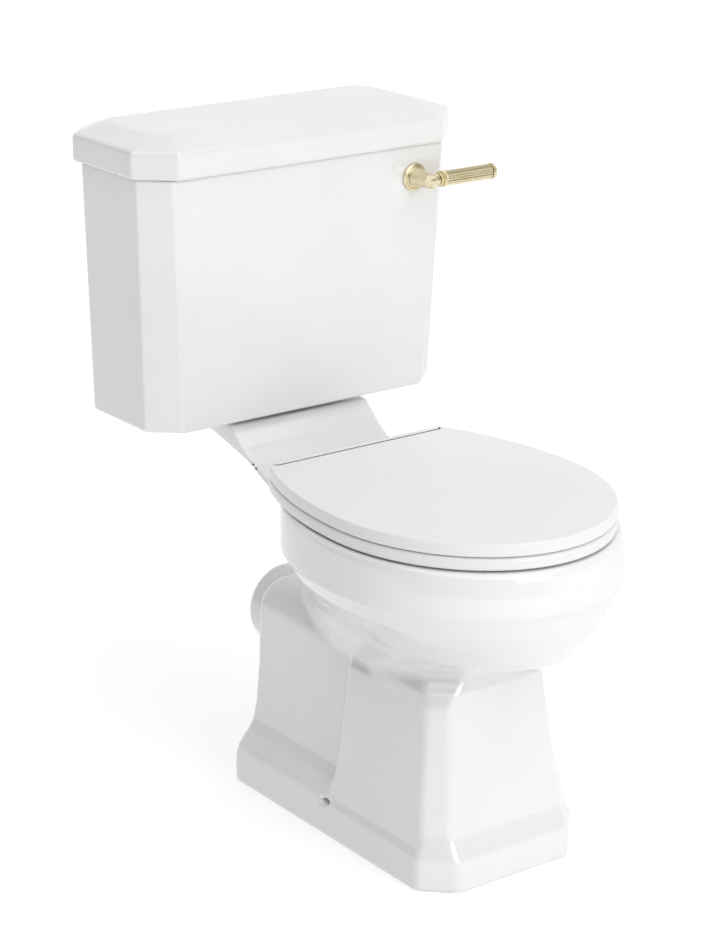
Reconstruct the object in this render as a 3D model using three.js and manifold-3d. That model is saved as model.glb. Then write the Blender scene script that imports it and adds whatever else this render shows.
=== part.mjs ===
// A close coupled toilet: pan, cistern with siphon and float valve, side lever, seat ring and cover.
// Millimetres, +Z up, +X to the right seen from the front, the front towards -Y.
// The origin lies on the floor, on the centreline, in the middle of the foot's rear wall.
import * as THREE from 'three';
import { mergeVertices } from 'three/addons/utils/BufferGeometryUtils.js';
import Module from 'manifold-3d';

const wasm = await Module();
wasm.setup();

// ---------------------------------------------------------------- driving dimensions

const GAP = 0.3;                 // what touching pieces keep between them

// seat outline: a half ellipse in front, a longer one behind, cut off straight at the hinges
const SEAT = { half: 165, front: 198, rear: 288, centreY: -281, rearEdge: -87 };
const RIM_TOP = 402;
const RING = { bottom: 404.3, top: 418.4, rearEdge: -89, holeHalf: 108, holeFront: 138, holeRear: 122 };
const COVER = { bottom: 419.6, top: 434.6 };

// rim band: height, how far it stands out from the seat's outline, rear reach
const RIM_BAND = [[402, 3, 246], [397, 6, 243], [374, 10.5, 237], [358, 12.4, 235], [345, 9.5, 234]];

// outside of the bowl below the band: height, half width, front reach, rear reach, centre
const BELLY = [
  [330, 163, 201, 246, -284], [318, 151, 196, 249, -285], [305, 139, 189, 254, -285],
  [290, 124, 178, 257, -285], [275, 110, 165, 257, -284], [262, 101, 135, 253, -274],
  [250, 95, 103, 247, -262], [240, 90, 78, 239, -253], [230, 85, 56, 230, -246],
  [220, 79, 34, 221, -239], [211, 71, 24, 210, -237],
];

// inside of the bowl under its overhanging rim: height, half width, front reach, rear reach
const BASIN = [
  [403, 122, 160, 138], [376, 120, 158, 136], [370, 146, 178, 156], [345, 150, 178, 160], [318, 138, 170, 156],
  [298, 118, 160, 150], [275, 94, 134, 138], [262, 84, 88, 122], [250, 76, 52, 106], [238, 64, 42, 88],
  [222, 46, 37, 60], [204, 33, 33, 34], [190, 28, 28, 28],
];
const BASIN_CENTRE = -268;

// foot and pedestal
const FOOT = { half: 113.5, front: -393, rear: 10, chamferX: 34.7, chamferY: 33.7, wall: 13 };
const SHAFT_REAR = -186;
const HOLLOW_TOP = [196, 86, -359, 14, 14];

// front block of the pedestal: height, half width, front face, bevel across, bevel along
const SHAFT = [
  [246, 48, -343, 24, 26],
  [232, 64, -351, 22, 24],
  [211, 85, -358, 18.6, 20],
  [160, 90, -364.5, 20.5, 21],
  [106, 96.5, -371, 22.5, 23],
  [60, 104, -379, 24, 24],
  [48, 107.5, -384, 28, 27],
  [38, 112, -391, 33, 32],
  [28, FOOT.half, FOOT.front, FOOT.chamferX, FOOT.chamferY],
  [0, FOOT.half, FOOT.front, FOOT.chamferX, FOOT.chamferY],
];

// rear block of the pedestal, from the trap housing down to the foot: height, half width
const REAR_WIDTH = [
  [205, 75], [150, 77], [98, 82], [75, 87.5], [64, 94.5], [56, 102.5], [47, 109], [37, 112.5],
  [28, FOOT.half], [0, FOOT.half],
];

// trap: its housing, its centreline in (y, z) out of the sump, over the weir and out at the back
const TRAP_BODY = { half: 75, low: 200, top: 250, cornerRadius: 38, length: 220 };
const TRAPWAY = [
  [-268, 205], [-264, 150], [-244, 98], [-205, 84], [-166, 112], [-128, 166], [-84, 190], [-40, 190],
];
const TRAP = {
  bore: 29, wall: 10, boreEnd: -44, sumpY: -262, sumpLow: 150, sumpHigh: 240, sumpRadius: 62, sumpMouth: 90,
};
const SPIGOT = { radius: 51, bore: 41, z: 189, end: 67, start: -40 };
const FLOOR_SCREW = { x: 97, y: -168, radius: 4, headRadius: 10, ledgeZ: 31, bossRadius: 15, top: 62 };

// cistern shelf of the pan, its side view in (y, z) and the water duct from it to the rim
const SHELF = { half: 98.5, top: 446, front: 25, rear: 135, thickness: 16, bossRadius: 54, bossLow: 404 };
const SHELF_RISE = [[-50, RIM_TOP - 0.5], [-20, RIM_TOP + 7], [SHELF.front, SHELF.top]];
const SHELF_UNDER = [
  [66, SHELF.top - SHELF.thickness], [51, 426], [27, 420], [8, 415], [-13, 409.5], [-39, 396], [-60, 388],
  [-90, 378], [-90, RIM_TOP - 0.5],
];
const INLET = {
  radius: 17, outside: 27, socket: 42.4, socketLow: 424,
  route: [[80, 430], [66, 411], [20, 393], [-30, 374], [-120, 358]],
  housing: [[84, 420], [62, 410], [20, 393], [-30, 374], [-100, 362]],
};

// cistern
const CISTERN = {
  bottom: 453, top: 757.2, rear: 196, wall: 10, floor: 12,
  lowHalf: 206.1, lowFront: 12.8, lowChamferX: 34, lowChamferY: 31.5,
  highHalf: 217.2, highFront: -5, highChamferX: 28, highChamferY: 35,
};
const FLOOR_TOP = CISTERN.bottom + CISTERN.floor;
const LID = {
  bottom: 757.5, rim: 790, top: 803.6, half: 224.4, front: -11.6, rear: 196, chamferX: 39.6, chamferY: 39.2,
  bevelX: 38, bevelFront: 41, bevelRear: 39, plateauBevel: 12, hollowTop: 787, hollowInset: 34, mouthInset: 26,
  lipDepth: 7, lipOut: 1.5, lipIn: 8,
};

// coupling between pan and cistern
const FLUSH = { y: 80, boltX: 70, boltRadius: 4, boltHole: 6, boltLow: 417, headRadius: 9 };
const SEAL = { radius: 41.8, bore: 31, low: 427 };
const WASHER = { rubberRadius: 12, rubber: 3, plateRadius: 13, plate: 2.5 };
const WING_NUT = { radius: 8, height: 7, reach: 17, halfThick: 1.6, wingHeight: 5 };

// flushing gear
const SIPHON = {
  chamberX: 63.5, chamberRadius: 42, chamberTop: 592, chamberBottom: 470, wall: 3,
  leg: 19, legBore: 15.5, legLow: 428, flange: 27, bridgeHalf: 24, bridgeHeight: 44,
  nutRadius: 30, nutLow: 436, plungerLow: 486, plungerHigh: 492,
};
const VALVE = {
  x: -140, y: 140, floorHole: 11, shank: 9.5, bore: 5, tail: 421, tower: 13, towerTop: 690,
  outletZ: 520, outlet: 3, flange: 18, capRadius: 17, nutRadius: 16, nutLow: 442,
};

// the valve's rocking arm: pivot, reach to the float's rod and how far it droops in a dry cistern
const ARM = { x: -134, z: 712, reach: 44, tilt: THREE.MathUtils.degToRad(13), hole: 2.4, pin: 2 };
const FLOAT = { radius: 39, bore: 15, low: 568, high: 620, wall: 2.5, rod: 1.6 };

// lever
const LEVER = {
  x: 149, z: 719, armY: -32, discY: -39, spindle: 4, bush: 8.6, wallHole: 9.2, plateRadius: 17,
  neckStart: 163, gripStart: 170, gripEnd: 241, capEnd: 247, gripRadius: 9.2, neckRadius: 10, capRadius: 9.8,
  hubRadius: 9, hubRoot: 12.5, stub: 7, nutRadius: 15, spindleFront: -24,
};

// the crank hangs below level at rest and rises above it when the lever is pressed
const CRANK = { length: 87, restAngle: THREE.MathUtils.degToRad(15), pinHole: 3.4, boss: 9 };
const CRANK_END = {
  x: LEVER.x - CRANK.length * Math.cos(CRANK.restAngle),
  z: LEVER.z - CRANK.length * Math.sin(CRANK.restAngle),
};
const LINK = { length: 52, pin: 2.6, half: 5, halfThick: 1.6, eye: 5.5 };

// seat hinges
const HINGE = {
  x: 77.5, y: -92.5, z: 411.4, pin: 3, pinHole: 3.35, pinHalf: 32, barrel: 7.5, halfBarrel: 13, lug: 5, ear: 7,
  stud: 3, studLow: 362, studHole: 6.5, studHoleLow: 356, sleeve: 6.2, base: 10,
};

// soft buffers: places under the ring and under the cover
const BUFFER = { radius: 8, pocket: 5, coverRadius: 6, coverPocket: 3 };
const RING_BUFFERS = [
  ['front_left', -84, -425], ['front_right', 84, -425], ['rear_left', -131, -190], ['rear_right', 131, -190],
];
const COVER_BUFFERS = [['left', -112, -370], ['right', 112, -370]];

// how much of an inset a bevelled corner gives up, so that its wall keeps an even thickness
const BEVEL_SHRINK = 0.4;

const SIDES = [['left', -1], ['right', 1]];
const BOWL_FACETS = 40;

// ---------------------------------------------------------------- materials

const finish = (color, roughness, metalness = 0) => () =>
  new THREE.MeshStandardMaterial({ color, roughness, metalness });
const china = finish(0xf4f4f2, 0.12);
const seatPlastic = finish(0xf5f5f4, 0.2);
const brass = finish(0xd9c787, 0.32, 1);
const steel = finish(0xb9bcc0, 0.3, 1);
const castBrass = finish(0xb8964a, 0.45, 1);
const whitePlastic = finish(0xe9eaea, 0.45);
const bluePlastic = finish(0x3c6fa8, 0.45);
const rubber = finish(0x242424, 0.85);
const clearBuffer = finish(0xdadad6, 0.6);

// ---------------------------------------------------------------- solids

function toSolid(geometry) {
  const bare = geometry.index ? geometry.toNonIndexed() : geometry.clone();
  bare.deleteAttribute('normal');
  bare.deleteAttribute('uv');
  const merged = mergeVertices(bare, 1e-4);
  return new wasm.Manifold(new wasm.Mesh({
    numProp: 3,
    vertProperties: new Float32Array(merged.attributes.position.array),
    triVerts: new Uint32Array(merged.index.array),
  }));
}

function toGeometry(solid) {
  const mesh = solid.getMesh();
  const geometry = new THREE.BufferGeometry();
  geometry.setAttribute('position', new THREE.BufferAttribute(new Float32Array(mesh.vertProperties), 3));
  geometry.setIndex(new THREE.BufferAttribute(new Uint32Array(mesh.triVerts), 1));
  geometry.computeVertexNormals();
  return geometry;
}

const join = (...solids) => solids.reduce((whole, solid) => whole.add(solid));
const cut = (solid, ...tools) => tools.reduce((rest, tool) => rest.subtract(tool), solid);

// a closed skin through a stack of outlines, highest first, all with the same number of points
function loft(sections) {
  const sides = sections[0].points.length;
  const steps = sections.length - 1;
  const geometry = new THREE.CylinderGeometry(1, 1, 1, sides, steps);
  const position = geometry.attributes.position;
  const centres = sections.map(({ points }) =>
    points.reduce((sum, point) => sum.add(point), new THREE.Vector2()).divideScalar(sides));
  for (let i = 0; i < position.count; i++) {
    const row = Math.round((0.5 - position.getY(i)) * steps);
    const turn = Math.atan2(position.getX(i), position.getZ(i)) / (2 * Math.PI);
    const column = (Math.round(turn * sides) + sides) % sides;
    const reach = Math.hypot(position.getX(i), position.getZ(i)) > 0.5 ? 1 : 0;
    const point = centres[row].clone().lerp(sections[row].points[column], reach);
    position.setXYZ(i, point.x, point.y, sections[row].z);
  }
  return toSolid(geometry);
}

// two half ellipses that share their width, counter-clockwise from +X
function roundOutline(half, front, rear, centreY, sides) {
  return Array.from({ length: sides }, (_, k) => {
    const angle = (2 * Math.PI * k) / sides;
    const reach = Math.sin(angle) < 0 ? front : rear;
    return new THREE.Vector2(half * Math.cos(angle), centreY + reach * Math.sin(angle));
  });
}

// a rectangle with bevelled corners; the rear bevels may differ from the front ones
function bevelledOutline(half, front, rear, bevelX, bevelY, rearBevelX = bevelX, rearBevelY = bevelY) {
  const right = [
    [half, front + bevelY], [half, rear - rearBevelY], [half - rearBevelX, rear],
  ];
  const left = right.map(([x, y]) => [-x, y]).reverse();
  const frontEdge = [[-(half - bevelX), front], [half - bevelX, front]];
  return [...right, ...left, ...frontEdge].map(([x, y]) => new THREE.Vector2(x, y));
}

function box(lowX, highX, lowY, highY, lowZ, highZ) {
  const geometry = new THREE.BoxGeometry(highX - lowX, highY - lowY, highZ - lowZ);
  geometry.translate((lowX + highX) / 2, (lowY + highY) / 2, (lowZ + highZ) / 2);
  return toSolid(geometry);
}

// an upright round bar from one height to another
function postBar(radius, lowZ, highZ, x = 0, y = 0, sides = 16, topRadius = radius) {
  const geometry = new THREE.CylinderGeometry(topRadius, radius, highZ - lowZ, sides);
  geometry.rotateX(Math.PI / 2).translate(x, y, (lowZ + highZ) / 2);
  return toSolid(geometry);
}

// a round bar along Y
function depthBar(radius, lowY, highY, x, z, sides = 16, rearRadius = radius) {
  const geometry = new THREE.CylinderGeometry(rearRadius, radius, highY - lowY, sides);
  return toSolid(geometry.translate(x, (lowY + highY) / 2, z));
}

// a round bar along X
function crossBar(radius, lowX, highX, y, z, sides = 16) {
  const geometry = new THREE.CylinderGeometry(radius, radius, highX - lowX, sides);
  geometry.rotateZ(-Math.PI / 2).translate((lowX + highX) / 2, y, z);
  return toSolid(geometry);
}

const tube = (radius, bore, lowZ, highZ, x, y, sides = 16) =>
  cut(postBar(radius, lowZ, highZ, x, y, sides), postBar(bore, lowZ - 1, highZ + 1, x, y, sides));

// a round pipe along a smooth curve in the centre plane, through [y, z] points
function bentPipe(radius, route, steps = 14, sides = 12) {
  const section = new THREE.Shape().absarc(0, 0, radius, 0, 2 * Math.PI);
  const path = new THREE.CatmullRomCurve3(route.map(([y, z]) => new THREE.Vector3(0, y, z)));
  return toSolid(new THREE.ExtrudeGeometry(section, { steps, curveSegments: sides / 2, extrudePath: path }));
}

// a flat shape in plan, raised to a thickness
const slab = (shape, lowZ, highZ, curveSegments = 20) =>
  toSolid(new THREE.ExtrudeGeometry(shape, { depth: highZ - lowZ, bevelEnabled: false, curveSegments })
    .translate(0, 0, lowZ));

// a side view in (y, z), given a width across the centreline
function sideProfile(points, half) {
  const shape = new THREE.Shape(points.map(([y, z]) => new THREE.Vector2(y, z)));
  const geometry = new THREE.ExtrudeGeometry(shape, { depth: 2 * half, bevelEnabled: false });
  geometry.rotateX(Math.PI / 2).rotateZ(Math.PI / 2).translate(-half, 0, 0);
  return toSolid(geometry);
}

const hexagon = (radius, lowZ, highZ, x, y) => postBar(radius, lowZ, highZ, x, y, 6);

function piece(name, solid, material) {
  const mesh = new THREE.Mesh(toGeometry(solid), material());
  mesh.name = name;
  return mesh;
}

// ---------------------------------------------------------------- pan

function bowlOutside() {
  const band = RIM_BAND.map(([z, out, rear]) => ({
    z, points: roundOutline(SEAT.half + out, SEAT.front + out, rear, SEAT.centreY, BOWL_FACETS),
  }));
  const belly = BELLY.map(([z, half, front, rear, centreY]) => ({
    z, points: roundOutline(half, front, rear, centreY, BOWL_FACETS),
  }));
  return loft([...band, ...belly]);
}

const shaftSection = ([z, half, front, bevelX, bevelY], inset = 0) => ({
  z, points: bevelledOutline(half - inset, front + inset, SHAFT_REAR - inset, bevelX, bevelY, 0.5, 0.5),
});

const rearSection = ([z, half], inset = 0) => ({
  z, points: bevelledOutline(half - inset, SHAFT_REAR - 20, FOOT.rear - inset, 0.5, 0.5),
});

// the arched top of the trap housing, from the bowl to the pan's back
function trapHousing() {
  const { half, low, top, cornerRadius, length } = TRAP_BODY;
  const shape = new THREE.Shape();
  shape.moveTo(-half, low);
  shape.lineTo(half, low);
  shape.lineTo(half, top - cornerRadius);
  shape.absarc(half - cornerRadius, top - cornerRadius, cornerRadius, 0, Math.PI / 2);
  shape.absarc(-half + cornerRadius, top - cornerRadius, cornerRadius, Math.PI / 2, Math.PI);
  const geometry = new THREE.ExtrudeGeometry(shape, { depth: length, bevelEnabled: false, curveSegments: 6 });
  return toSolid(geometry.rotateX(Math.PI / 2).translate(0, FOOT.rear, 0));
}

// the open space under the foot, round the trap, the outlet and the floor screws
function footHollow() {
  const { wall } = FOOT;
  const belowSole = ({ z, points }) => ({ z: z || -1, points });
  const low = SHAFT.filter(([z]) => z < 110).map((row) => belowSole(shaftSection(row, wall)));
  const front = loft([shaftSection(HOLLOW_TOP, wall), ...low]);
  const rear = loft(REAR_WIDTH.slice(1).map((row) => belowSole(rearSection(row, wall))));
  const solids = join(
    bentPipe(TRAP.bore + TRAP.wall, TRAPWAY),
    depthBar(SPIGOT.radius, SPIGOT.start - 20, 10, 0, SPIGOT.z, 20),
    postBar(TRAP.sumpRadius, TRAP.sumpLow, TRAP.sumpHigh, 0, TRAP.sumpY, 20, TRAP.sumpMouth),
    ...SIDES.map(([, side]) =>
      postBar(FLOOR_SCREW.bossRadius, -2, FLOOR_SCREW.top, side * FLOOR_SCREW.x, FLOOR_SCREW.y)),
  );
  return cut(join(front, rear), solids);
}

const basin = () => loft(BASIN.map(([z, half, front, rear]) => ({
  z, points: roundOutline(half, front, rear, BASIN_CENTRE, 32),
})));

// the deck that rises behind the seat to the shelf that the cistern stands on
function shelf() {
  const [start, bend, end] = SHELF_RISE.map(([y, z]) => new THREE.Vector2(y, z));
  const upper = new THREE.QuadraticBezierCurve(start, bend, end).getPoints(8).map(({ x, y }) => [x, y]);
  const rear = [[SHELF.rear, SHELF.top], [SHELF.rear, SHELF.top - SHELF.thickness]];
  const plate = sideProfile([...upper, ...rear, ...SHELF_UNDER], SHELF.half);
  const boss = postBar(SHELF.bossRadius, SHELF.bossLow, SHELF.top, 0, FLUSH.y, 20);
  return join(plate, boss, bentPipe(INLET.outside, INLET.housing, 10));
}

function pan() {
  const shaft = loft(SHAFT.map((row) => shaftSection(row)));
  const rear = loft(REAR_WIDTH.map((row) => rearSection(row)));
  const outlet = depthBar(SPIGOT.radius, SPIGOT.start, SPIGOT.end, 0, SPIGOT.z, 28);
  const body = join(bowlOutside(), shaft, rear, trapHousing(), outlet, shelf());
  const trapBore = join(bentPipe(TRAP.bore, TRAPWAY),
    depthBar(SPIGOT.bore, TRAP.boreEnd, SPIGOT.end + 1, 0, SPIGOT.z, 20));
  const inlet = join(
    postBar(INLET.socket, INLET.socketLow, SHELF.top + 1, 0, FLUSH.y, 20),
    bentPipe(INLET.radius, INLET.route, 10, 10),
  );
  const drilled = SIDES.flatMap(([, side]) => [
    postBar(FLUSH.boltHole, SHELF.bossLow - 4, SHELF.top + 1, side * FLUSH.boltX, FLUSH.y, 16),
    postBar(HINGE.studHole, HINGE.studHoleLow, RIM_TOP + 4, side * HINGE.x, HINGE.y, 16),
    postBar(FLOOR_SCREW.radius, -1, FLOOR_SCREW.top, side * FLOOR_SCREW.x, FLOOR_SCREW.y, 16),
    postBar(FLOOR_SCREW.headRadius, FLOOR_SCREW.ledgeZ, FLOOR_SCREW.top,
      side * FLOOR_SCREW.x, FLOOR_SCREW.y, 20),
  ]);
  return cut(body, footHollow(), basin(), trapBore, inlet, ...drilled);
}

// ---------------------------------------------------------------- cistern and lid

function cisternBlock(inset, bottom, top) {
  const at = (z) => {
    const rise = (z - CISTERN.bottom) / (CISTERN.top - CISTERN.bottom);
    const mix = (low, high) => THREE.MathUtils.lerp(low, high, rise);
    const half = mix(CISTERN.lowHalf, CISTERN.highHalf) - inset;
    const front = mix(CISTERN.lowFront, CISTERN.highFront) + inset;
    const bevelX = mix(CISTERN.lowChamferX, CISTERN.highChamferX) - inset * BEVEL_SHRINK;
    const bevelY = mix(CISTERN.lowChamferY, CISTERN.highChamferY) - inset * BEVEL_SHRINK;
    return { z, points: bevelledOutline(half, front, CISTERN.rear - inset, bevelX, bevelY) };
  };
  return loft([at(top), at(bottom)]);
}

function cisternBody() {
  const holes = [
    postBar(SIPHON.leg + 1, CISTERN.bottom - 1, FLOOR_TOP + 1, 0, FLUSH.y),
    postBar(VALVE.floorHole, CISTERN.bottom - 1, FLOOR_TOP + 1, VALVE.x, VALVE.y, 16),
    depthBar(LEVER.wallHole, -12, 30, LEVER.x, LEVER.z, 20),
    ...SIDES.map(([, side]) =>
      postBar(FLUSH.boltHole, CISTERN.bottom - 1, FLOOR_TOP + 1, side * FLUSH.boltX, FLUSH.y, 16)),
  ];
  const inside = cisternBlock(CISTERN.wall, FLOOR_TOP, CISTERN.top + 1);
  return cut(cisternBlock(0, CISTERN.bottom, CISTERN.top), inside, ...holes);
}

function cisternLid() {
  const { bottom, rim, top, half, front, rear, chamferX, chamferY } = LID;
  const edge = (z, inset) => ({
    z, points: bevelledOutline(half - inset, front + inset, rear - inset,
      chamferX - inset * BEVEL_SHRINK, chamferY - inset * BEVEL_SHRINK),
  });
  const plateau = bevelledOutline(half - LID.bevelX, front + LID.bevelFront, rear - LID.bevelRear,
    LID.plateauBevel, LID.plateauBevel);
  const shell = loft([{ z: top, points: plateau }, edge(rim, 0), edge(bottom + 4, 0), edge(bottom, 2)]);
  const underside = loft([edge(LID.hollowTop, LID.hollowInset), edge(bottom - 1, LID.mouthInset)]);
  const lip = cut(cisternBlock(CISTERN.wall + LID.lipOut, bottom - LID.lipDepth, bottom + 2),
    cisternBlock(CISTERN.wall + LID.lipIn, bottom - LID.lipDepth - 1, bottom + 3));
  return join(cut(shell, underside), lip);
}

// ---------------------------------------------------------------- seat

function seatShape(rearEdge) {
  const { half, front, rear, centreY } = SEAT;
  const corner = Math.asin((rearEdge - centreY) / rear);
  const shape = new THREE.Shape();
  shape.absellipse(0, centreY, half, rear, corner, 0, true);
  shape.absellipse(0, centreY, half, front, 0, -Math.PI, true);
  shape.absellipse(0, centreY, half, rear, Math.PI, Math.PI - corner, true);
  return shape;
}

const hingeSlots = (reach, lowZ, highZ, clear) => SIDES.map(([, side]) => {
  const inner = HINGE.halfBarrel + HINGE.lug + clear;
  return box(side * HINGE.x - inner, side * HINGE.x + inner, HINGE.y - reach, SEAT.rearEdge + 5, lowZ, highZ);
});

function seatRing() {
  const plate = slab(seatShape(RING.rearEdge), RING.bottom, RING.top, 12);
  const hole = loft([RING.top + 1, RING.bottom - 1].map((z) => ({
    z, points: roundOutline(RING.holeHalf, RING.holeFront, RING.holeRear, SEAT.centreY, 32),
  })));
  const pinHoles = SIDES.map(([, side]) =>
    crossBar(HINGE.pinHole, side * HINGE.x - HINGE.pinHalf - 2, side * HINGE.x + HINGE.pinHalf + 2,
      HINGE.y, HINGE.z, 16));
  const pockets = RING_BUFFERS.map(([, x, y]) =>
    postBar(BUFFER.radius + GAP, RING.bottom - 1, RING.bottom + BUFFER.pocket, x, y, 20));
  return cut(plate, hole, ...hingeSlots(18, RING.bottom - 1, RING.top + 1, 1.5), ...pinHoles, ...pockets);
}

function seatCover() {
  const plate = slab(seatShape(SEAT.rearEdge), COVER.bottom, COVER.top, 12);
  const lugs = SIDES.flatMap(([, side]) => [-1, 1].map((end) => {
    const middle = side * HINGE.x + end * (HINGE.halfBarrel + HINGE.lug / 2 + 0.7);
    const lowX = middle - HINGE.lug / 2;
    const ear = crossBar(HINGE.ear, lowX, lowX + HINGE.lug, HINGE.y, HINGE.z, 20);
    const web = box(lowX, lowX + HINGE.lug, HINGE.y - 6, HINGE.y + 5, HINGE.z, COVER.bottom + 1);
    return cut(join(ear, web), crossBar(HINGE.pinHole, lowX - 1, lowX + HINGE.lug + 1, HINGE.y, HINGE.z, 16));
  }));
  const pockets = COVER_BUFFERS.map(([, x, y]) =>
    postBar(BUFFER.coverRadius + GAP, COVER.bottom - 1, COVER.bottom + BUFFER.coverPocket, x, y, 20));
  return cut(join(plate, ...lugs), ...pockets);
}

// ---------------------------------------------------------------- assembly

const toilet = new THREE.Group();

function addPan() {
  toilet.add(piece('pan', pan(), china));
}

function addCistern() {
  toilet.add(piece('cistern_body', cisternBody(), china));
  toilet.add(piece('cistern_lid', cisternLid(), china));
}

function addCoupling() {
  const seal = cut(postBar(SEAL.radius, SEAL.low, CISTERN.bottom - GAP, 0, FLUSH.y, 20),
    postBar(SEAL.bore, SEAL.low - 1, CISTERN.bottom, 0, FLUSH.y, 20));
  toilet.add(piece('coupling_seal', seal, rubber));
  const { y, boltRadius } = FLUSH;
  const washerTop = FLOOR_TOP + GAP + WASHER.rubber;
  const plateTop = SHELF.top - SHELF.thickness - GAP;
  const nutTop = plateTop - WASHER.plate - GAP;
  const nutLow = nutTop - WING_NUT.height;
  for (const [name, side] of SIDES) {
    const x = side * FLUSH.boltX;
    const bolt = join(postBar(boltRadius, FLUSH.boltLow, washerTop + 2, x, y, 14),
      hexagon(FLUSH.headRadius, washerTop + GAP, washerTop + 6, x, y));
    const wings = box(x - WING_NUT.halfThick, x + WING_NUT.halfThick, y - WING_NUT.reach, y + WING_NUT.reach,
      nutLow, nutLow + WING_NUT.wingHeight);
    const nut = cut(join(postBar(WING_NUT.radius, nutLow, nutTop, x, y), wings),
      postBar(boltRadius + GAP, nutLow - 1, nutTop + 1, x, y, 14));
    toilet.add(piece(`coupling_bolt_${name}`, bolt, castBrass));
    toilet.add(piece(`coupling_rubber_${name}`,
      tube(WASHER.rubberRadius, boltRadius + GAP, FLOOR_TOP + GAP, washerTop, x, y, 20), rubber));
    toilet.add(piece(`coupling_plate_${name}`,
      tube(WASHER.plateRadius, boltRadius + GAP, plateTop - WASHER.plate, plateTop, x, y, 20), steel));
    toilet.add(piece(`coupling_wing_nut_${name}`, nut, castBrass));
  }
}

function addSiphon() {
  const { chamberX, chamberRadius, chamberTop, chamberBottom, leg, legBore, legLow, wall, bridgeHalf } = SIPHON;
  const { y } = FLUSH;
  const bridgeLow = chamberTop - SIPHON.bridgeHeight;
  const outside = join(
    postBar(chamberRadius, chamberBottom, chamberTop, chamberX, y, 20),
    box(-leg, chamberX, y - bridgeHalf, y + bridgeHalf, bridgeLow, chamberTop),
    postBar(leg, legLow, chamberTop, 0, y),
    postBar(SIPHON.flange, FLOOR_TOP + GAP + 2.5, FLOOR_TOP + 10, 0, y),
  );
  const hollow = join(
    postBar(chamberRadius - wall, chamberBottom - 1, chamberTop - wall, chamberX, y, 20),
    box(-leg + wall, chamberX, y - bridgeHalf + wall, y + bridgeHalf - wall,
      bridgeLow + wall, chamberTop - wall),
    postBar(legBore, legLow - 1, chamberTop - wall - 1, 0, y, 20),
    postBar(4.2, chamberTop - 10, chamberTop + 1, chamberX, y, 14),
  );
  toilet.add(piece('siphon_body', cut(outside, hollow), whitePlastic));
  toilet.add(piece('siphon_washer', tube(leg + 7, leg + GAP, FLOOR_TOP + GAP, FLOOR_TOP + 2.5, 0, y), rubber));
  const nut = cut(hexagon(SIPHON.nutRadius, SIPHON.nutLow, CISTERN.bottom - GAP, 0, y),
    postBar(leg + GAP, SIPHON.nutLow - 1, CISTERN.bottom, 0, y));
  toilet.add(piece('siphon_back_nut', nut, whitePlastic));
  const { plungerLow, plungerHigh } = SIPHON;
  const plungerRadius = chamberRadius - wall - 1.2;
  const eyeZ = CRANK_END.z - LINK.length;
  const rod = cut(
    join(postBar(3, plungerHigh + 5, eyeZ - 8, chamberX, y, 14),
      box(chamberX - 8, chamberX + 8, y - 2, y + 2, eyeZ - 10, eyeZ + 9)),
    depthBar(LINK.eye, y - 5, y + 5, chamberX, eyeZ, 16));
  toilet.add(piece('siphon_lift_rod', rod, steel));
  toilet.add(piece('siphon_plunger',
    tube(plungerRadius, 3 + GAP, plungerLow, plungerHigh, chamberX, y, 20), whitePlastic));
  toilet.add(piece('siphon_flap',
    tube(plungerRadius - 0.8, 3 + GAP, plungerHigh + GAP, plungerHigh + 1.5, chamberX, y, 20), clearBuffer));
  toilet.add(piece('siphon_rod_nut', hexagon(6.5, plungerLow - 8, plungerLow - GAP, chamberX, y), steel));
}

function addFillValve() {
  const { x, y, shank, bore, tail, tower, towerTop, outletZ } = VALVE;
  const body = cut(
    join(postBar(shank, tail, FLOOR_TOP + 3, x, y, 20), postBar(tower, FLOOR_TOP + 3, towerTop, x, y),
      postBar(VALVE.flange, FLOOR_TOP + 3, FLOOR_TOP + 9, x, y)),
    postBar(bore, tail - 1, towerTop - 8, x, y, 16),
    crossBar(VALVE.outlet, x, x + 30, y, outletZ, 12));
  toilet.add(piece('fill_valve_body', body, whitePlastic));
  toilet.add(piece('fill_valve_washer', tube(16, shank + GAP, FLOOR_TOP + GAP, FLOOR_TOP + 2.7, x, y), rubber));
  const nut = cut(hexagon(VALVE.nutRadius, VALVE.nutLow, CISTERN.bottom - GAP, x, y),
    postBar(shank + GAP, VALVE.nutLow - 1, CISTERN.bottom, x, y, 20));
  toilet.add(piece('fill_valve_back_nut', nut, whitePlastic));
  const cheeks = [-1, 1].map((end) =>
    box(x - 4, x + 12, y + end * 6 - 2, y + end * 6 + 2, towerTop + 9, ARM.z + 5));
  const cap = cut(join(postBar(VALVE.capRadius, towerTop + GAP, towerTop + 10, x, y), ...cheeks),
    depthBar(ARM.hole, y - 10, y + 10, ARM.x, ARM.z, 12));
  toilet.add(piece('fill_valve_cap', cap, whitePlastic));
  toilet.add(piece('valve_arm_pin', depthBar(ARM.pin, y - 9, y + 9, ARM.x, ARM.z, 12), steel));
}

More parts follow.
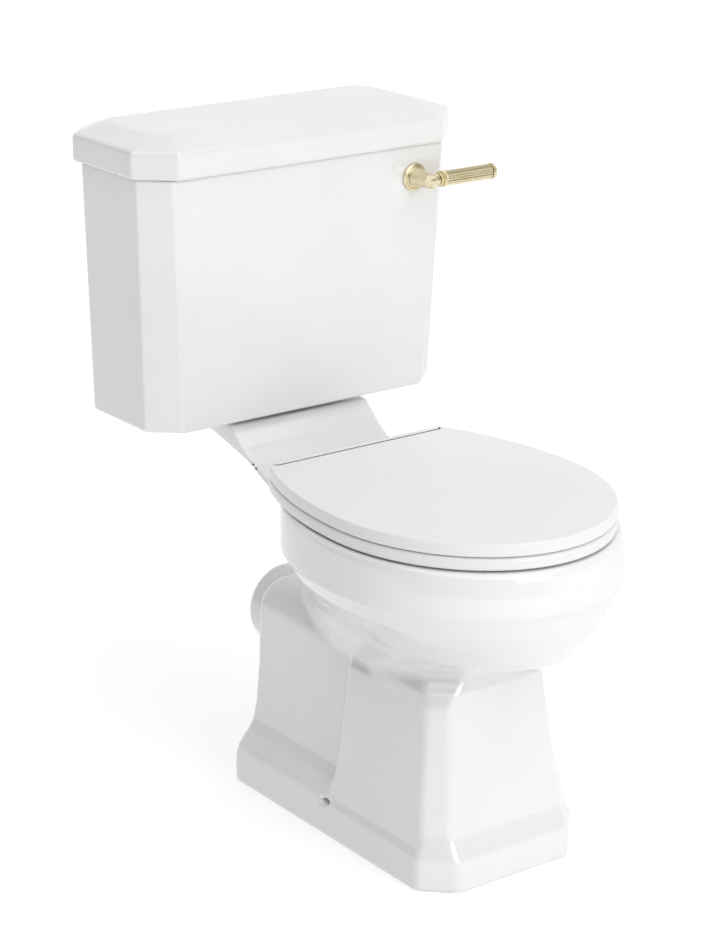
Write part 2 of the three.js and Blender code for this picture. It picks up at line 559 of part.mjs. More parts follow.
function addFloat() {
  const { x, y } = VALVE;
  const endX = ARM.x - ARM.reach * Math.cos(ARM.tilt);
  const endZ = ARM.z - ARM.reach * Math.sin(ARM.tilt);
  const rodX = Math.round(endX);
  const arm = cut(
    join(depthBar(5, -3.6, 3.6, 0, 0, 16), box(-ARM.reach, 3, -3, 3, -2, 2),
      box(-ARM.reach - 7, -ARM.reach + 7, -5, 5, -2, 2)),
    depthBar(ARM.hole, -5, 5, 0, 0, 12),
    box(-ARM.reach - 4, -ARM.reach + 4, -2.6, 2.6, -3, 3));
  const mesh = piece('valve_arm', arm, whitePlastic);
  mesh.position.set(ARM.x, y, ARM.z);
  mesh.rotation.y = -ARM.tilt;
  toilet.add(mesh);
  const { radius, bore, low, high, wall } = FLOAT;
  const inside = cut(postBar(radius - wall, low - 1, high - 3, x, y, 20),
    postBar(bore + wall, low - 2, high, x, y));
  const float = cut(postBar(radius, low, high, x, y, 20), postBar(bore, low - 1, high + 1, x, y), inside);
  toilet.add(piece('float', float, bluePlastic));
  const rod = join(postBar(FLOAT.rod, high + GAP, endZ + 9, rodX, y, 12),
    postBar(3.4, high + GAP, high + 4, rodX, y, 12));
  toilet.add(piece('float_rod', rod, steel));
}

function addLever() {
  const { x, z } = LEVER;
  const slope = Math.atan((CISTERN.lowFront - CISTERN.highFront) / (CISTERN.top - CISTERN.bottom));
  const wallY = THREE.MathUtils.lerp(CISTERN.lowFront, CISTERN.highFront,
    (z - CISTERN.bottom) / (CISTERN.top - CISTERN.bottom));

  const profile = [[9.2, 0], [LEVER.plateRadius, 0], [LEVER.plateRadius, 3], [15.5, 5.5], [9.2, 6.5]]
    .map(([radius, height]) => new THREE.Vector2(radius, height));
  const plate = piece('lever_backplate', toSolid(new THREE.LatheGeometry([...profile, profile[0]], 20)), brass);
  plate.rotation.x = Math.PI + slope;
  plate.position.set(x, wallY - GAP - 0.15, z);
  toilet.add(plate);

  const insideY = wallY + CISTERN.wall;
  const spindleBore = depthBar(LEVER.spindle + GAP, -30, 60, x, z, 16);
  toilet.add(piece('lever_bush',
    cut(depthBar(LEVER.bush, wallY - 7, insideY + 14, x, z, 20), spindleBore), castBrass));
  const nutBlank = new THREE.CylinderGeometry(LEVER.nutRadius, LEVER.nutRadius, 6, 6)
    .translate(x, insideY + 7.5, z);
  toilet.add(piece('lever_back_nut',
    cut(toSolid(nutBlank), depthBar(LEVER.bush + GAP, 0, 40, x, z, 20)), castBrass));
  toilet.add(piece('lever_rubber', cut(depthBar(LEVER.nutRadius, insideY + 1.2, insideY + 4, x, z),
    depthBar(LEVER.bush + GAP, 0, 40, x, z, 20)), rubber));

  toilet.add(piece('lever_spindle',
    depthBar(LEVER.spindle, LEVER.spindleFront, FLUSH.y + 8, x, z, 16), castBrass));
  const hub = cut(
    join(depthBar(LEVER.hubRadius, LEVER.discY, wallY - 7.5, x, z, 20, LEVER.hubRoot),
      crossBar(LEVER.stub, x, LEVER.neckStart - GAP, LEVER.armY, z, 24)),
    depthBar(LEVER.spindle + GAP, LEVER.spindleFront - GAP, 10, x, z, 16));
  toilet.add(piece('lever_hub', hub, brass));
  const ring = cut(crossBar(LEVER.neckRadius, LEVER.neckStart, LEVER.gripStart - GAP, LEVER.armY, z, 20),
    crossBar(3.5, LEVER.neckStart - 1, LEVER.gripStart + 1, LEVER.armY, z, 16));
  toilet.add(piece('lever_neck', ring, brass));
  toilet.add(piece('lever_grip',
    crossBar(LEVER.gripRadius, LEVER.gripStart, LEVER.gripEnd, LEVER.armY, z, 20), brass));
  toilet.add(piece('lever_end_cap',
    crossBar(LEVER.capRadius, LEVER.gripEnd + GAP, LEVER.capEnd, LEVER.armY, z, 20), brass));

  const crank = new THREE.Group();
  crank.position.set(x, FLUSH.y, z);
  crank.rotation.y = -CRANK.restAngle;
  const arm = cut(
    join(depthBar(CRANK.boss, -5, 5, 0, 0, 20), box(-CRANK.length - 7, 0, -2.2, 2.2, -5, 5)),
    depthBar(LEVER.spindle + GAP, -9, 9, 0, 0, 16),
    depthBar(CRANK.pinHole, -9, 9, -CRANK.length, 0, 14));
  crank.add(piece('lever_crank', arm, castBrass));
  toilet.add(crank);

  const top = CRANK_END.z;
  const low = top - LINK.length;
  const linkY = FLUSH.y + 5;
  const link = join(
    box(CRANK_END.x - LINK.half, CRANK_END.x + LINK.half, linkY - LINK.halfThick, linkY + LINK.halfThick,
      low - 5, top + 6),
    depthBar(LINK.pin, FLUSH.y - 4, linkY, CRANK_END.x, top, 14),
    depthBar(LINK.pin, FLUSH.y - 5, linkY, CRANK_END.x, low, 14));
  toilet.add(piece('lift_link', link, steel));
}

function addSeat() {
  toilet.add(piece('seat_ring', seatRing(), seatPlastic));
  for (const [name, x, y] of RING_BUFFERS) {
    toilet.add(piece(`ring_buffer_${name}`,
      postBar(BUFFER.radius, RIM_TOP + GAP, RING.bottom + BUFFER.pocket - GAP, x, y, 20), clearBuffer));
  }
  toilet.add(piece('seat_cover', seatCover(), seatPlastic));
  for (const [name, x, y] of COVER_BUFFERS) {
    toilet.add(piece(`cover_buffer_${name}`,
      postBar(BUFFER.coverRadius, RING.top + GAP, COVER.bottom + BUFFER.coverPocket - GAP, x, y, 20),
      clearBuffer));
  }
}

function addHinges() {
  for (const [name, side] of SIDES) {
    const x = side * HINGE.x;
    const lowZ = RIM_TOP + GAP;
    const post = cut(
      join(crossBar(HINGE.barrel, x - HINGE.halfBarrel, x + HINGE.halfBarrel, HINGE.y, HINGE.z, 24),
        box(x - 9, x + 9, HINGE.y - 6, HINGE.y + 6, lowZ, HINGE.z),
        postBar(HINGE.base, lowZ, lowZ + 1.4, x, HINGE.y)),
      crossBar(HINGE.pinHole, x - 20, x + 20, HINGE.y, HINGE.z, 16),
      postBar(HINGE.stud + GAP, lowZ - 1, HINGE.z - 4.5, x, HINGE.y, 14));
    toilet.add(piece(`hinge_post_${name}`, post, steel));
    toilet.add(piece(`hinge_pin_${name}`,
      crossBar(HINGE.pin, x - HINGE.pinHalf, x + HINGE.pinHalf, HINGE.y, HINGE.z, 16), steel));
    toilet.add(piece(`hinge_stud_${name}`, join(
      postBar(HINGE.stud, HINGE.studLow, HINGE.z - 4.8, x, HINGE.y, 14),
      hexagon(5, HINGE.studLow - 4, HINGE.studLow + 1, x, HINGE.y)), steel));
    const sleeve = tube(HINGE.sleeve, HINGE.stud + GAP, HINGE.studLow + 1.5, RIM_TOP - 1, x, HINGE.y, 20);
    toilet.add(piece(`hinge_sleeve_${name}`, sleeve, rubber));
  }
}

addPan();
addCistern();
addCoupling();
addSiphon();
addFillValve();
addFloat();
addLever();
addSeat();
addHinges();

export default toilet;
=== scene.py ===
"""Looks of the close coupled toilet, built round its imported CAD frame."""
import math

import bmesh
import bpy
import numpy as np
from mathutils import Matrix, Vector


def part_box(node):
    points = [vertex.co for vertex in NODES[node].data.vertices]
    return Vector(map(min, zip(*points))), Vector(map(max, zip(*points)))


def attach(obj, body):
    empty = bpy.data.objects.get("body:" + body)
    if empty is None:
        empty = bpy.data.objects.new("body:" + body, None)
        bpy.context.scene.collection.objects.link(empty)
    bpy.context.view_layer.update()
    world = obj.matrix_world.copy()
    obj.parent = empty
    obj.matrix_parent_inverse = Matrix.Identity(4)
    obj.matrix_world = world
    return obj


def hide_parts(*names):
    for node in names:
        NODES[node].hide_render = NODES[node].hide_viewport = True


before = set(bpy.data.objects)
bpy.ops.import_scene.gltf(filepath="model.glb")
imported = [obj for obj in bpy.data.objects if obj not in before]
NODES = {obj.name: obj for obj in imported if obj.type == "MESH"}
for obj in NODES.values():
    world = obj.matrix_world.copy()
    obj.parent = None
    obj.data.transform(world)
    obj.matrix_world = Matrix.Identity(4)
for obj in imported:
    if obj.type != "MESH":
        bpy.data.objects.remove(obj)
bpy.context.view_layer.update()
MM = 0.001


def box_mm(node):
    """Lowest and highest corner of a CAD node, in millimetres."""
    low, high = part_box(node)
    return np.array(low) / MM, np.array(high) / MM


PAN_LOW, PAN_HIGH = box_mm("pan")
BODY_LOW, BODY_HIGH = box_mm("cistern_body")
LID_LOW, LID_HIGH = box_mm("cistern_lid")
RING_LOW, RING_HIGH = box_mm("seat_ring")
COVER_HIGH = box_mm("seat_cover")[1]
HUB_LOW, HUB_HIGH = box_mm("lever_hub")
NECK_LOW, NECK_HIGH = box_mm("lever_neck")
GRIP_LOW, GRIP_HIGH = box_mm("lever_grip")
CAP_LOW, CAP_HIGH = box_mm("lever_end_cap")
# clearance under each rubber buffer, and between the ring and the cover
BUFFER_GAP, COVER_GAP = 0.3, 1.2
RIM_TOP = box_mm("ring_buffer_rear_left")[0][2] - BUFFER_GAP
RING_TOP = box_mm("cover_buffer_left")[0][2] - BUFFER_GAP
# the cover's plate ends short of its ears, so that it clears the deck when it is up
COVER_REAR = COVER_HIGH[1] - 2.8
HINGE_X, HINGE_Y, HINGE_Z = 77.5, -92.5, 411.4
LEVER_X, LEVER_Z, LEVER_ARM_Y = 149, 719, -32
# centre line of the flush inlet and the coupling bolts
COUPLING_Y, COUPLING_BOLT_X = 80, 70

# ---------------------------------------------------------------- camera


def aim_camera():
    """The photograph's viewpoint: in front, to the left and a little above the cistern."""
    roll, sensor = math.radians(-0.23), 36
    data = bpy.data.cameras.new("camera")
    camera = bpy.data.objects.new("camera", data)
    bpy.context.scene.collection.objects.link(camera)
    place = Vector((-1.7428, -2.5146, 1.4017))
    target = Vector((-0.0002, -0.0841, 0.3993))
    turn = (target - place).to_track_quat("-Z", "Y")
    camera.location = place
    camera.rotation_mode = "QUATERNION"
    camera.rotation_quaternion = turn @ Matrix.Rotation(roll, 3, "Z").to_quaternion()
    data.sensor_fit = "VERTICAL"
    data.sensor_height = sensor
    data.sensor_width = sensor
    data.lens = 102.28
    data.clip_start, data.clip_end = 0.05, 60
    bpy.context.scene.camera = camera


# ---------------------------------------------------------------- materials


def new_material(name):
    material = bpy.data.materials.new(name)
    material.use_nodes = True
    tree = material.node_tree
    return material, tree, tree.nodes["Principled BSDF"]


def add_node(tree, kind, **values):
    node = tree.nodes.new(kind)
    for key, value in values.items():
        if key in node.inputs.keys():
            node.inputs[key].default_value = value
        else:
            setattr(node, key, value)
    return node


def grey(value):
    return value, value, value


def object_noise(tree, scale, detail=2.0, stretch=(1, 1, 1)):
    """Noise in the object's own coordinates, in metres."""
    place = add_node(tree, "ShaderNodeTexCoord")
    mapping = add_node(tree, "ShaderNodeMapping", Scale=stretch)
    noise = add_node(tree, "ShaderNodeTexNoise", Scale=scale, Detail=detail)
    tree.links.new(place.outputs["Object"], mapping.inputs["Vector"])
    tree.links.new(mapping.outputs["Vector"], noise.inputs["Vector"])
    return noise.outputs["Fac"]


def ramp(tree, source, low, high, start=0.3, end=0.7):
    """A colour that runs from low to high as the source runs from start to end."""
    node = tree.nodes.new("ShaderNodeValToRGB")
    for stop, position, colour in zip(node.color_ramp.elements, (start, end), (low, high)):
        stop.position = position
        stop.color = (*colour, 1)
    tree.links.new(source, node.inputs["Fac"])
    return node.outputs["Color"]


def spread(tree, source, low, high):
    """A value that runs from low to high as the source runs from 0 to 1."""
    node = add_node(tree, "ShaderNodeMapRange")
    node.inputs["To Min"].default_value = low
    node.inputs["To Max"].default_value = high
    tree.links.new(source, node.inputs["Value"])
    return node.outputs["Result"]


def bump(tree, sources):
    """A chain of bumps, each of (height, distance in metres, strength)."""
    normal = None
    for height, distance, strength in sources:
        node = add_node(tree, "ShaderNodeBump", Distance=distance, Strength=strength)
        tree.links.new(height, node.inputs["Height"])
        if normal is not None:
            tree.links.new(normal, node.inputs["Normal"])
        normal = node.outputs["Normal"]
    return normal


def glaze():
    material, tree, shader = new_material("glazed_china")
    cloud = object_noise(tree, 9, 3)
    specks = object_noise(tree, 900, 1)
    tree.links.new(ramp(tree, cloud, (0.775, 0.775, 0.77), (0.80, 0.802, 0.80)), shader.inputs["Base Color"])
    tree.links.new(spread(tree, object_noise(tree, 30, 2), 0.06, 0.13), shader.inputs["Roughness"])
    waves = object_noise(tree, 24, 1)
    tree.links.new(bump(tree, [(waves, 0.0006, 0.25), (specks, 0.00003, 0.2)]), shader.inputs["Normal"])
    shader.inputs["Coat Weight"].default_value = 0.35
    shader.inputs["Coat Roughness"].default_value = 0.03
    return material


def gloss_plastic():
    material, tree, shader = new_material("seat_plastic")
    cloud = object_noise(tree, 6, 2)
    waves = object_noise(tree, 16, 1)
    tree.links.new(ramp(tree, cloud, grey(0.765), grey(0.785)), shader.inputs["Base Color"])
    tree.links.new(spread(tree, object_noise(tree, 8, 1), 0.27, 0.3), shader.inputs["Roughness"])
    shader.inputs["Specular IOR Level"].default_value = 0.35
    tree.links.new(bump(tree, [(waves, 0.0002, 0.1)]), shader.inputs["Normal"])
    return material


def brushed_metal(name, dark, light, rough_low, rough_high, stretch=(1, 1, 1), scratch=0.00004):
    material, tree, shader = new_material(name)
    streaks = object_noise(tree, 260, 3, stretch)
    cloud = object_noise(tree, 45, 3)
    tree.links.new(ramp(tree, cloud, dark, light), shader.inputs["Base Color"])
    tree.links.new(spread(tree, streaks, rough_low, rough_high), shader.inputs["Roughness"])
    tree.links.new(bump(tree, [(streaks, scratch, 0.5)]), shader.inputs["Normal"])
    shader.inputs["Metallic"].default_value = 1
    return material


def moulded_plastic(name, dark, light, roughness=0.42):
    material, tree, shader = new_material(name)
    cloud = object_noise(tree, 25, 3)
    grain = object_noise(tree, 700, 2)
    tree.links.new(ramp(tree, cloud, dark, light), shader.inputs["Base Color"])
    tree.links.new(spread(tree, cloud, roughness - 0.06, roughness + 0.08), shader.inputs["Roughness"])
    tree.links.new(bump(tree, [(grain, 0.00008, 0.4)]), shader.inputs["Normal"])
    return material


def black_rubber():
    material, tree, shader = new_material("black_rubber")
    grain = object_noise(tree, 900, 3)
    dust = object_noise(tree, 70, 4)
    tree.links.new(ramp(tree, dust, (0.012, 0.012, 0.012), (0.03, 0.03, 0.031)), shader.inputs["Base Color"])
    tree.links.new(spread(tree, dust, 0.62, 0.85), shader.inputs["Roughness"])
    tree.links.new(bump(tree, [(grain, 0.00012, 0.5)]), shader.inputs["Normal"])
    return material


MATERIALS = {
    "glazed_china": glaze(),
    "seat_plastic": gloss_plastic(),
    "brushed_brass": brushed_metal("brushed_brass", (0.74, 0.65, 0.43), (0.84, 0.75, 0.52), 0.3, 0.42,
                                   stretch=(0.2, 1, 1)),
    "cast_brass": brushed_metal("cast_brass", (0.42, 0.29, 0.11), (0.60, 0.43, 0.18), 0.38, 0.6,
                                scratch=0.00015),
    "stainless_steel": brushed_metal("stainless_steel", (0.50, 0.51, 0.52), (0.63, 0.64, 0.65), 0.2, 0.38),
    "white_plastic": moulded_plastic("white_plastic", (0.66, 0.67, 0.67), (0.74, 0.74, 0.74)),
    "float_plastic": moulded_plastic("float_plastic", (0.03, 0.10, 0.30), (0.05, 0.15, 0.38)),
    "black_rubber": black_rubber(),
    "buffer_rubber": moulded_plastic("buffer_rubber", (0.62, 0.62, 0.60), (0.70, 0.70, 0.68), 0.55),
}

# ---------------------------------------------------------------- meshes


def make_object(name, vertices, faces, slot, body, *nodes):
    """A piece from points in millimetres, with its finish, its body and the CAD nodes it stands for."""
    mesh = bpy.data.meshes.new(name)
    mesh.from_pydata((np.asarray(vertices, float) * MM).tolist(), [], faces)
    mesh.validate()
    mesh.update()
    mesh.shade_smooth()
    mesh.materials.append(MATERIALS[slot])
    piece = bpy.data.objects.new(name, mesh)
    bpy.context.scene.collection.objects.link(piece)
    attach(piece, body)
    if nodes:
        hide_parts(*nodes)
    return piece


def outward(piece):
    """Turns a closed piece's faces to look outwards."""
    work = bmesh.new()
    work.from_mesh(piece.data)
    bmesh.ops.recalc_face_normals(work, faces=work.faces)
    work.to_mesh(piece.data)
    work.free()
    return piece


def smooth_by_angle():
    """A node group that shades faces smooth and keeps edges sharper than its limit."""
    tree = bpy.data.node_groups.new("smooth_by_angle", "GeometryNodeTree")
    tree.interface.new_socket("Geometry", in_out="INPUT", socket_type="NodeSocketGeometry")
    tree.interface.new_socket("Geometry", in_out="OUTPUT", socket_type="NodeSocketGeometry")
    entry, leave = tree.nodes.new("NodeGroupInput"), tree.nodes.new("NodeGroupOutput")
    faces = tree.nodes.new("GeometryNodeSetShadeSmooth")
    edges = tree.nodes.new("GeometryNodeSetShadeSmooth")
    edges.domain = "EDGE"
    angle = tree.nodes.new("GeometryNodeInputMeshEdgeAngle")
    compare = tree.nodes.new("FunctionNodeCompare")
    compare.operation = "LESS_EQUAL"
    compare.inputs["B"].default_value = math.radians(32)
    tree.links.new(entry.outputs[0], faces.inputs["Geometry"])
    tree.links.new(faces.outputs[0], edges.inputs["Geometry"])
    tree.links.new(angle.outputs["Unsigned Angle"], compare.inputs["A"])
    tree.links.new(compare.outputs["Result"], edges.inputs["Shade Smooth"])
    tree.links.new(edges.outputs[0], leave.inputs[0])
    return tree


SMOOTH = smooth_by_angle()


def soften(piece, width=None):
    """Rounds a piece's sharp edges by a width in millimetres, and shades the rest smooth."""
    if width:
        bevel = piece.modifiers.new("edges", "BEVEL")
        bevel.width = width * MM
        bevel.segments = 2
        bevel.limit_method = "ANGLE"
        bevel.angle_limit = math.radians(40)
        bevel.use_clamp_overlap = True
    shade = piece.modifiers.new("shade", "NODES")
    shade.node_group = SMOOTH
    return piece


def even_normals(piece):
    weigh = piece.modifiers.new("normals", "WEIGHTED_NORMAL")
    weigh.keep_sharp = True
    return piece


def grid_faces(rings, sides, closed):
    """Quads between neighbouring rings; closed joins the last ring to the first."""
    faces = []
    for r in range(rings if closed else rings - 1):
        low, high = r * sides, (r + 1) % rings * sides
        for k in range(sides):
            after = (k + 1) % sides
            faces.append((low + k, low + after, high + after, high + k))
    return faces


def skin(name, rings, slot, body, *nodes, closed=False):
    """A closed skin through rings of equal length; each end gets a cap unless the rings are closed."""
    rings = [np.asarray(ring, float) for ring in rings]
    sides = len(rings[0])
    faces = grid_faces(len(rings), sides, closed)
    if not closed:
        faces.append(tuple(range(sides)))
        faces.append(tuple((len(rings) - 1) * sides + k for k in range(sides)))
    return outward(make_object(name, np.concatenate(rings), faces, slot, body, *nodes))


def filleted(points, radii, closed=True, steps=4):
    """A polyline with its corners rounded, each by its own radius."""
    points = [np.asarray(p, float) for p in points]
    radii = [radii] * len(points) if np.isscalar(radii) else radii
    made = []
    for i, (corner, radius) in enumerate(zip(points, radii)):
        if not closed and i in (0, len(points) - 1):
            made.append(corner)
            continue
        back, ahead = points[i - 1] - corner, points[(i + 1) % len(points)] - corner
        reach_back, reach_ahead = np.linalg.norm(back), np.linalg.norm(ahead)
        back, ahead = back / reach_back, ahead / reach_ahead
        half = math.acos(max(-1.0, min(1.0, float(back @ ahead)))) / 2
        run = min(radius / math.tan(half), 0.48 * reach_back, 0.48 * reach_ahead)
        start, end = corner + back * run, corner + ahead * run
        centre = corner + (back + ahead) / np.linalg.norm(back + ahead) * run / math.cos(half)
        a, b = start - centre, end - centre
        swing = math.pi - 2 * half
        for s in range(steps + 1):
            t = s / steps
            arc = math.sin((1 - t) * swing) * a + math.sin(t * swing) * b
            made.append(centre + arc / math.sin(swing))
    return made


def bevelled(half, front, rear, bevel_x, bevel_y, rear_bevel=None):
    """The corners of a rectangle with bevelled corners; rear_bevel is the rear pair's run along the depth."""
    right = [(half, front + bevel_y), (half, rear - (rear_bevel or bevel_y)), (half - bevel_x, rear)]
    left = [(-x, y) for x, y in reversed(right)]
    return [*right, *left, (-(half - bevel_x), front), (half - bevel_x, front)]


def lathe(profile, axis, origin, sides=48):
    """Rings of a turned shape: profile points of (radius, height) about an axis through origin."""
    axis = Vector(axis).normalized()
    across = axis.orthogonal().normalized()
    third = axis.cross(across)
    angles = [2 * math.pi * k / sides for k in range(sides)]
    spokes = [across * math.cos(a) + third * math.sin(a) for a in angles]
    return [[np.array(Vector(origin) + axis * height + spoke * radius) for spoke in spokes]
            for radius, height in profile]


# ---------------------------------------------------------------- pan, as one blended volume

PITCH = 3.4

# outside of the bowl: height, half width, front reach, rear reach, centre
BOWL = np.array([
    (402, 168, 201, 246, -281), (397, 171, 204, 243, -281), (374, 175.5, 208.5, 237, -281),
    (352, 177.4, 210.4, 235, -281), (348.5, 174, 207, 233, -281), (330, 163, 201, 246, -284),
    (318, 151, 196, 249, -285), (305, 139, 189, 254, -285), (290, 124, 178, 257, -285),
    (275, 110, 165, 257, -284), (262, 101, 135, 253, -274), (250, 95, 103, 247, -262),
    (240, 90, 78, 239, -253), (230, 85, 56, 230, -246), (220, 79, 34, 221, -239),
    (211, 71, 24, 210, -237)], float)[::-1]
# front block of the pedestal: height, half width, front face, bevel across, bevel along
SHAFT = np.array([
    (262, 60, -340, 34, 38), (246, 66, -346, 32, 36), (232, 73, -352, 26, 29), (211, 85, -358, 18.6, 20),
    (160, 90, -364.5, 20.5, 21), (106, 96.5, -371, 22.5, 23), (60, 104, -379, 24, 24),
    (48, 107.5, -384, 28, 27), (38, 112, -391, 33, 32), (28, 113.5, -393, 34.7, 33.7),
    (0, 113.5, -393, 34.7, 33.7)], float)[::-1]
# rear block of the pedestal: height, half width
REAR_WIDTH = np.array([
    (205, 75), (150, 77), (98, 82), (75, 87.5), (64, 94.5), (56, 102.5), (47, 109), (37, 112.5), (28, 113.5),
    (0, 113.5)], float)[::-1]
# inside of the bowl: height, half width, front reach, rear reach
BASIN = np.array([
    (403, 122, 160, 138), (376, 120, 158, 136), (370, 146, 178, 156), (345, 150, 178, 160),
    (318, 138, 170, 156), (298, 118, 160, 150), (275, 94, 134, 138), (262, 84, 88, 122), (250, 76, 52, 106),
    (238, 64, 42, 88), (222, 46, 37, 60), (204, 33, 33, 34), (190, 28, 28, 28)], float)[::-1]
BASIN_CENTRE = -268
# the bowl's corners are crisp above this span of heights and soft below it
BAND_LOW, BAND_SPAN = 335, 10
BLOCK_TOP, SHAFT_TOP, SHAFT_REAR = 212, 262, -150
REAR_FRONT, FOOT_REAR, FOOT_WALL = -215, 10, 13
OUTLET_Z, OUTLET_END, OUTLET_RADIUS, OUTLET_BORE = 189, 67, 51, 41
SCREW_X, SCREW_Y = 97, -168
# middle of the water way from the bowl over the weir, and of the flush duct from the inlet to the rim
TRAPWAY = [(-268, 205), (-264, 150), (-244, 98), (-205, 84), (-166, 112), (-128, 166), (-84, 190), (-40, 190)]
DUCT_CASING = [(84, 420), (62, 410), (20, 393), (-30, 374), (-100, 362)]
DUCT = [(80, 430), (66, 411), (20, 393), (-30, 374), (-120, 358)]


def blend_min(a, b, k):
    """The lesser of two fields, with the crease between them filled over about k millimetres."""
    h = np.clip(0.5 + 0.5 * (b - a) / k, 0, 1)
    return b + (a - b) * h - k * h * (1 - h)


def blend_max(a, b, k):
    """The greater of two fields, with the edge between them rounded over about k millimetres."""
    return -blend_min(-a, -b, k)


def eased(table, column, z, reach=2.5):
    """A table's column by height, with its corners eased over a few millimetres."""
    step = 0.5
    fine = np.arange(-10, 470, step)
    values = np.interp(fine, table[:, 0], table[:, column])
    width = int(reach / step)
    window = np.hanning(2 * width + 3)[1:-1]
    padded = np.pad(values, width, mode="edge")
    return np.interp(z, fine, np.convolve(padded, window / window.sum(), mode="valid"))


def true_distance(shape, x, y, z):
    """An implicit shape scaled to distance near its skin."""
    step = 0.4
    here = shape(x, y, z)
    slope = np.sqrt((shape(x + step, y, z) - here) ** 2 + (shape(x, y + step, z) - here) ** 2
                    + (shape(x, y, z + step) - here) ** 2) / step
    return here / np.maximum(slope, 1e-4)


def ellipse_shape(half, front, rear, centre, x, y):
    reach = np.where(y < centre, front, rear)
    return np.sqrt((x / half) ** 2 + ((y - centre) / reach) ** 2) - 1


def bowl_outside(x, y, z):
    crisp, soft = ([eased(BOWL, c, z, reach) for c in (1, 2, 3, 4)] for reach in (1.5, 6))
    share = np.clip((z - BAND_LOW) / BAND_SPAN, 0, 1)
    half, front, rear, centre = (b + (a - b) * share for a, b in zip(crisp, soft))
    return ellipse_shape(half, front, rear, centre, x, y)


def basin_inside(x, y, z):
    half, front, rear = (eased(BASIN, c, z, 4) for c in (1, 2, 3))
    return ellipse_shape(half, front, rear, BASIN_CENTRE, x, y)


def pedestal_width(y, z):
    """Half width of the foot: the front block steps in to the rear block at a soft upright crease."""
    crease = -189 + (211 - np.clip(z, 0, 211)) * 0.06
    t = np.clip((y - crease + 7) / 14, 0, 1)
    t = t * t * (3 - 2 * t)
    return eased(SHAFT, 1, z) * (1 - t) + eased(REAR_WIDTH, 1, z) * t


def front_block(x, y, z, inset=0.0):
    front = eased(SHAFT, 2, z) + inset
    bevel_x, bevel_y = eased(SHAFT, 3, z), eased(SHAFT, 4, z)
    half = pedestal_width(y, z) - inset
    corner = eased(SHAFT, 1, z) - inset
    bevel = ((x - corner) * bevel_y + (front + bevel_y - y) * bevel_x) / np.hypot(bevel_x, bevel_y)
    side = blend_max(x - half, bevel, 5)
    return blend_max(side, front - y, 5)


def rear_block(x, y, z, inset=0.0):
    side = x - (pedestal_width(y, z) - inset)
    arch = np.hypot(np.maximum(x - 37, 0), np.maximum(z - BLOCK_TOP, 0)) - 38 + inset
    return np.where(z > BLOCK_TOP, arch, side)


def capsule_path(x, y, z, route, radius):
    """A round pipe along [y, z] points in the centre plane."""
    route = smooth_route(route)
    best = None
    for (y0, z0), (y1, z1) in zip(route, route[1:]):
        dy, dz = y1 - y0, z1 - z0
        t = np.clip(((y - y0) * dy + (z - z0) * dz) / (dy * dy + dz * dz), 0, 1)
        d = (y - y0 - t * dy) ** 2 + (z - z0 - t * dz) ** 2
        best = d if best is None else np.minimum(best, d)
    return np.sqrt(best + x * x) - radius


def smooth_route(points, steps=4):
    """Points along a Catmull-Rom curve."""
    p = [np.array(q, float) for q in points]
    p = [2 * p[0] - p[1], *p, 2 * p[-1] - p[-2]]
    made = []
    for a, b, c, d in zip(p, p[1:], p[2:], p[3:]):
        for s in range(steps):
            t = s / steps
            made.append(0.5 * (2 * b + (c - a) * t + (2 * a - 5 * b + 4 * c - d) * t * t
                               + (3 * b - a - 3 * c + d) * t ** 3))
    return [*made, p[-2]]


def upright_bar(x, y, z, radius, low, high, at_x=0.0, at_y=0.0):
    return np.maximum(np.hypot(x - at_x, y - at_y) - radius, np.maximum(low - z, z - high))


def depth_bar(x, y, z, radius, low, high, at_z):
    return np.maximum(np.hypot(x, z - at_z) - radius, np.maximum(low - y, y - high))


def polygon_distance(y, z, corners):
    """Signed distance to a polygon in the side view."""
    best, inside = None, None
    for (y0, z0), (y1, z1) in zip(corners, corners[1:] + corners[:1]):
        dy, dz = y1 - y0, z1 - z0
        t = np.clip(((y - y0) * dy + (z - z0) * dz) / (dy * dy + dz * dz), 0, 1)
        d = (y - y0 - t * dy) ** 2 + (z - z0 - t * dz) ** 2
        crossing = ((z0 > z) != (z1 > z)) & (y < dy * (z - z0) / (dz if dz else 1e-9) + y0)
        best = d if best is None else np.minimum(best, d)
        inside = crossing if inside is None else inside ^ crossing
    return np.where(inside, -1, 1) * np.sqrt(best)


SHELF_HALF, SHELF_REAR, SHELF_HIGH, SHELF_THICK = 98.5, PAN_HIGH[1], PAN_HIGH[2], 16
SHELF_OUTLINE = [
    (-120, 398), (-56, 398), (-44, 400.6), (-34, 404.6), (-22, 409.8), (-10, 416.5), (2, 425), (14, 435.5),
    (25, SHELF_HIGH), (SHELF_REAR, SHELF_HIGH), (SHELF_REAR, SHELF_HIGH - SHELF_THICK),
    (66, SHELF_HIGH - SHELF_THICK), (51, 426), (27, 420), (8, 415), (-13, 409.5), (-39, 396), (-60, 387),
    (-90, 376), (-120, 370)]
SHELF_ROOT = [
    (-120, 398), (-56, 398), (-34, 403), (-10, 414), (20, 428), (36, 412), (8, 404), (-13, 397), (-39, 385),
    (-60, 376), (-90, 366), (-120, 360)]


def shelf(x, y, z):
    """The deck that rises behind the seat, its thicker middle, the seal's boss and the duct's casing."""
    plate = blend_max(polygon_distance(y, z, SHELF_OUTLINE), x - SHELF_HALF, 3.5)
    root = blend_max(polygon_distance(y, z, SHELF_ROOT), x - SHELF_HALF + 12, 6)
    plate = blend_min(plate, root, 5)
    boss = upright_bar(x, y, z, 54, 404, SHELF_HIGH, 0, COUPLING_Y)
    casing = capsule_path(x, y, z, DUCT_CASING, 27)
    return blend_min(blend_min(plate, boss, 6), casing, 6)


